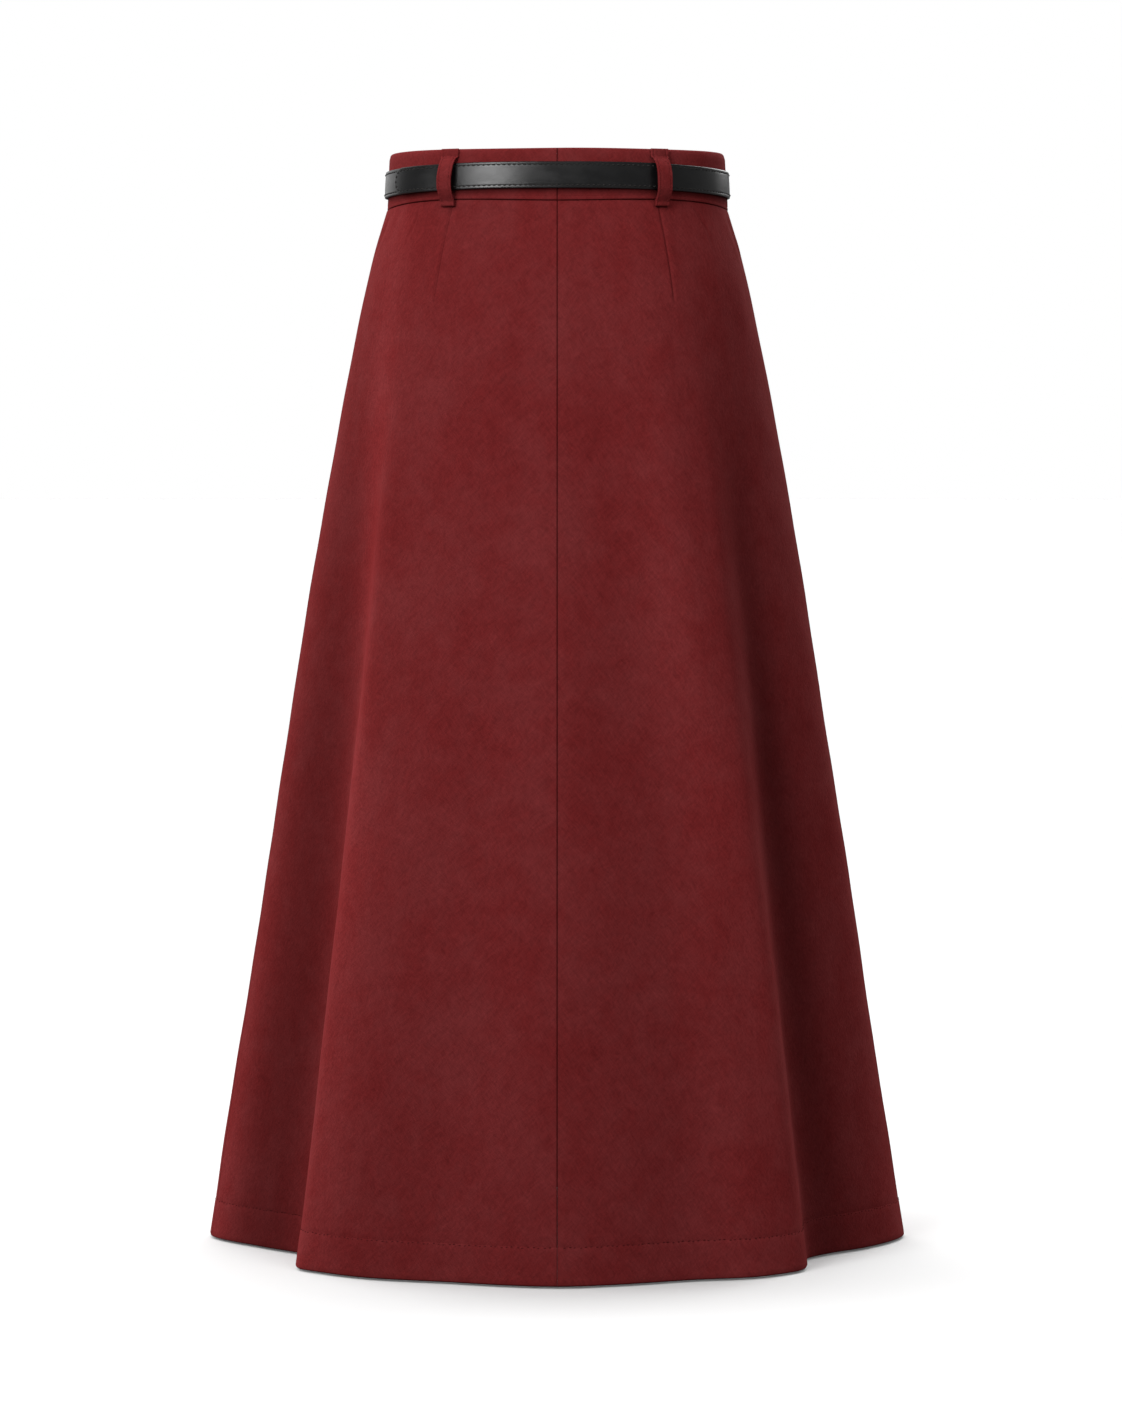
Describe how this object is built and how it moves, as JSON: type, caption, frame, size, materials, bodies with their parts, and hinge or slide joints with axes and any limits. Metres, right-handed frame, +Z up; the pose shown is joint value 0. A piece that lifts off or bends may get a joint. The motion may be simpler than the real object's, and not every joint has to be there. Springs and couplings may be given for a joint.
{
  "type": "belted a-line midi skirt",
  "caption": "Flared midi skirt held at the waist, with a waistband, belt loops and a narrow leather belt buckled at the front.",
  "frame": {"origin": "centre of the waist, half-way up the waistband, where the wearer holds the skirt", "axes": "+Z up, -Y towards the back with the centre-back seam, +Y towards the front with the buckle, +X towards the wearer's right"},
  "size_m": [0.541, 0.4822, 0.8385],
  "materials": {
    "cloth": "brushed burgundy twill with a soft suede-like nap, matt with a faint sheen at grazing angles",
    "belt_leather": "smooth black leather, satin, edge stitched",
    "buckle_metal": "plain satin nickel"
  },
  "bodies": {
    "root": {"back_left": "cloth", "back_right": "cloth", "front": "cloth", "waistband": "cloth", "belt_loop_back_left": "cloth", "belt_loop_back_right": "cloth", "belt_loop_front_left": "cloth", "belt_loop_front_right": "cloth", "belt_back_strap": "belt_leather", "belt_buckle_strap": "belt_leather", "belt_keeper": "belt_leather", "buckle_frame": "buckle_metal", "buckle_prong": "buckle_metal"}
  },
  "joints": []
}
